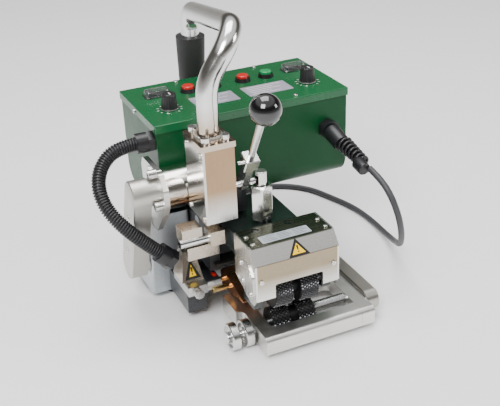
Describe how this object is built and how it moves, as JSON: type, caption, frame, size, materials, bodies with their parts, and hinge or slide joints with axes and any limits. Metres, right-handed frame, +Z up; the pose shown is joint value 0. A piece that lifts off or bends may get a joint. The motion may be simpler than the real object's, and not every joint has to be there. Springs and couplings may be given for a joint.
{
  "type": "hot wedge seam welder",
  "caption": "Bench machine that welds overlapping sheet: heated wedge, lever-pressed knurled seam rollers, chain drive, control box and carrying handle.",
  "frame": {"origin": "on the floor under the middle of the machine's footprint, with the mains cord left out", "axes": "+X along the rollers, away from the open side where the sheet goes in; +Y from the rollers to the control box; +Z up"},
  "size_m": [0.3809, 0.4653, 0.3401],
  "materials": {
    "block_shell": "polished",
    "block_side_cover": "polished",
    "box_lid": "gloss green paint",
    "box_shell": "gloss green paint",
    "brass_rods": "bright",
    "button_bezels": "semi gloss",
    "cable_glands": "satin nylon",
    "carry_handle": "polished with a satin top run",
    "chain_case": "satin nickel",
    "chain_case_cover": "satin nickel",
    "conduit": "satin corrugated nylon",
    "conduit_gland_lower": "satin nylon",
    "control_board": "circuit board",
    "copper_wedge": "warm copper",
    "cord_coil": "matte",
    "cover_screws": "bright zinc",
    "drive_chain": "oiled",
    "end_block": "satin machined",
    "film_guide": "satin dark",
    "gear_case": "satin cast",
    "green_button_left": "semi gloss",
    "green_button_right": "semi gloss",
    "guide_wheel_inner": "polished",
    "guide_wheel_outer": "polished",
    "handle_grip": "satin",
    "housing_end_plates": "brushed stainless",
    "housing_screws": "bright zinc",
    "housing_shell": "brushed stainless",
    "junction_cover": "polished",
    "knob_left": "satin with a silver skirt",
    "knob_right": "satin with a silver skirt",
    "lever_arm": "bright",
    "lever_knob": "gloss phenolic",
    "lower_arm_frame": "satin machined",
    "lower_roller": "blackened and knurled",
    "lower_sprocket": "oiled",
    "main_frame": "satin dark paint",
    "mains_cord": "matte",
    "mains_plug": "satin",
    "motor_flange": "bead blasted",
    "motor_shaft": "oiled",
    "motor_tube": "polished",
    "pins_and_axles": "polished",
    "pressure_nut": "polished",
    "pressure_rod": "bright",
    "pressure_spring": "bright",
    "red_button_left": "semi gloss",
    "red_button_right": "semi gloss",
    "rocker_left": "black under a clear boot",
    "rocker_right": "black under a clear boot",
    "rubber_feet": "matte",
    "side_bar": "satin",
    "socket_screws": "bright zinc",
    "spiral_relief": "satin",
    "thumb_screw": "knurled",
    "upper_arm": "gloss dark paint",
    "upper_roller": "blackened and knurled",
    "wedge_base": "satin",
    "wedge_bracket": "satin",
    "wedge_table": "insulating laminate"
  },
  "bodies": {
    "machine": {"block_shell": "block_shell", "block_side_cover": "block_side_cover", "box_lid": "box_lid", "box_shell": "box_shell", "button_bezels": "button_bezels", "cable_glands": "cable_glands", "carry_handle": "carry_handle", "chain_case": "chain_case", "chain_case_cover": "chain_case_cover", "conduit": "conduit", "control_board": "control_board", "cord_coil": "cord_coil", "cover_screws": "cover_screws", "drive_chain": "drive_chain", "end_block": "end_block", "film_guide": "film_guide", "gear_case": "gear_case", "handle_grip": "handle_grip", "lower_arm_frame": "lower_arm_frame", "main_frame": "main_frame", "mains_cord": "mains_cord", "mains_plug": "mains_plug", "motor_flange": "motor_flange", "motor_tube": "motor_tube", "pins_and_axles": "pins_and_axles", "rubber_feet": "rubber_feet", "side_bar": "side_bar", "socket_screws": "socket_screws", "spiral_relief": "spiral_relief", "wedge_bracket": "wedge_bracket"},
    "upper_arm": {"upper_arm": "upper_arm", "housing_shell": "housing_shell", "housing_end_plates": "housing_end_plates", "housing_screws": "housing_screws", "pressure_rod": "pressure_rod", "pressure_spring": "pressure_spring"},
    "upper_roller": {"upper_roller": "upper_roller"},
    "lower_roller": {"lower_roller": "lower_roller"},
    "pressure_nut": {"pressure_nut": "pressure_nut"},
    "lever": {"lever_arm": "lever_arm", "lever_knob": "lever_knob"},
    "guide_wheel_inner": {"guide_wheel_inner": "guide_wheel_inner"},
    "guide_wheel_outer": {"guide_wheel_outer": "guide_wheel_outer"},
    "wedge_carriage": {"wedge_base": "wedge_base", "wedge_table": "wedge_table", "copper_wedge": "copper_wedge", "brass_rods": "brass_rods", "junction_cover": "junction_cover", "conduit_gland_lower": "conduit_gland_lower"},
    "thumb_screw": {"thumb_screw": "thumb_screw"},
    "motor_shaft": {"motor_shaft": "motor_shaft"},
    "lower_sprocket": {"lower_sprocket": "lower_sprocket"},
    "rocker_left": {"rocker_left": "rocker_left"},
    "rocker_right": {"rocker_right": "rocker_right"},
    "knob_left": {"knob_left": "knob_left"},
    "knob_right": {"knob_right": "knob_right"},
    "red_button_left": {"red_button_left": "red_button_left"},
    "red_button_right": {"red_button_right": "red_button_right"},
    "green_button_left": {"green_button_left": "green_button_left"},
    "green_button_right": {"green_button_right": "green_button_right"}
  },
  "joints": [
    {"name": "lever_press", "type": "hinge", "parent": "machine", "child": "lever", "pos_m": [-0.01403, -0.0746, 0.168], "axis": [1, 0, 0], "range_deg": [0, 50]},
    {"name": "upper_arm_lift", "type": "hinge", "parent": "machine", "child": "upper_arm", "pos_m": [0.00847, -0.0156, 0.104], "axis": [1, 0, 0], "range_deg": [0, 2.3]},
    {"name": "lower_roller_spin", "type": "hinge", "parent": "machine", "child": "lower_roller", "pos_m": [0.00847, -0.1186, 0.02], "axis": [1, 0, 0], "continuous": true},
    {"name": "upper_roller_spin", "type": "hinge", "parent": "upper_arm", "child": "upper_roller", "pos_m": [0.00847, -0.1186, 0.0625], "axis": [1, 0, 0], "continuous": true},
    {"name": "motor_spin", "type": "hinge", "parent": "machine", "child": "motor_shaft", "pos_m": [-0.07153, -0.0236, 0.156], "axis": [1, 0, 0], "continuous": true},
    {"name": "cross_shaft_spin", "type": "hinge", "parent": "machine", "child": "lower_sprocket", "pos_m": [-0.07153, 0.0184, 0.0495], "axis": [1, 0, 0], "continuous": true},
    {"name": "pressure_nut_turn", "type": "hinge", "parent": "upper_arm", "child": "pressure_nut", "pos_m": [0.00707, -0.0746, 0.1325], "axis": [0, 0, 1], "continuous": true},
    {"name": "inner_wheel_spin", "type": "hinge", "parent": "machine", "child": "guide_wheel_inner", "pos_m": [-0.04103, -0.1186, 0.015], "axis": [1, 0, 0], "continuous": true},
    {"name": "outer_wheel_spin", "type": "hinge", "parent": "machine", "child": "guide_wheel_outer", "pos_m": [-0.05653, -0.1186, 0.015], "axis": [1, 0, 0], "continuous": true},
    {"name": "wedge_feed", "type": "slide", "parent": "machine", "child": "wedge_carriage", "axis": [0, 1, 0], "range_m": [0, 0.012], "deforming": ["conduit"]},
    {"name": "thumb_screw_turn", "type": "hinge", "parent": "wedge_carriage", "child": "thumb_screw", "pos_m": [-0.06753, -0.0656, 0.0435], "axis": [0, 1, 0], "continuous": true},
    {"name": "rocker_left_tilt", "type": "hinge", "parent": "machine", "child": "rocker_left", "pos_m": [-0.04653, 0.0864, 0.2207], "axis": [0, 1, 0], "range_deg": [-18, 0]},
    {"name": "knob_left_turn", "type": "hinge", "parent": "machine", "child": "knob_left", "pos_m": [-0.04803, 0.0394, 0.2235], "axis": [0, 0, 1], "range_deg": [-150, 150]},
    {"name": "rocker_right_tilt", "type": "hinge", "parent": "machine", "child": "rocker_right", "pos_m": [0.12947, 0.0864, 0.2207], "axis": [0, 1, 0], "range_deg": [-18, 0]},
    {"name": "knob_right_turn", "type": "hinge", "parent": "machine", "child": "knob_right", "pos_m": [0.12297, 0.0384, 0.2235], "axis": [0, 0, 1], "range_deg": [-150, 150]},
    {"name": "red_button_left_press", "type": "slide", "parent": "machine", "child": "red_button_left", "axis": [0, 0, -1], "range_m": [0, 0.003], "stiffness_N_per_m": 300},
    {"name": "red_button_right_press", "type": "slide", "parent": "machine", "child": "red_button_right", "axis": [0, 0, -1], "range_m": [0, 0.003], "stiffness_N_per_m": 300},
    {"name": "green_button_left_press", "type": "slide", "parent": "machine", "child": "green_button_left", "axis": [0, 0, -1], "range_m": [0, 0.003], "stiffness_N_per_m": 300},
    {"name": "green_button_right_press", "type": "slide", "parent": "machine", "child": "green_button_right", "axis": [0, 0, -1], "range_m": [0, 0.003], "stiffness_N_per_m": 300}
  ],
  "couplings": [
    {"joint": "upper_arm_lift", "follows": "lever_press", "ratio": 0.046},
    {"joint": "upper_roller_spin", "follows": "lower_roller_spin", "ratio": -0.72727},
    {"joint": "cross_shaft_spin", "follows": "lower_roller_spin", "ratio": 1},
    {"joint": "motor_spin", "follows": "lower_roller_spin", "ratio": 1}
  ]
}
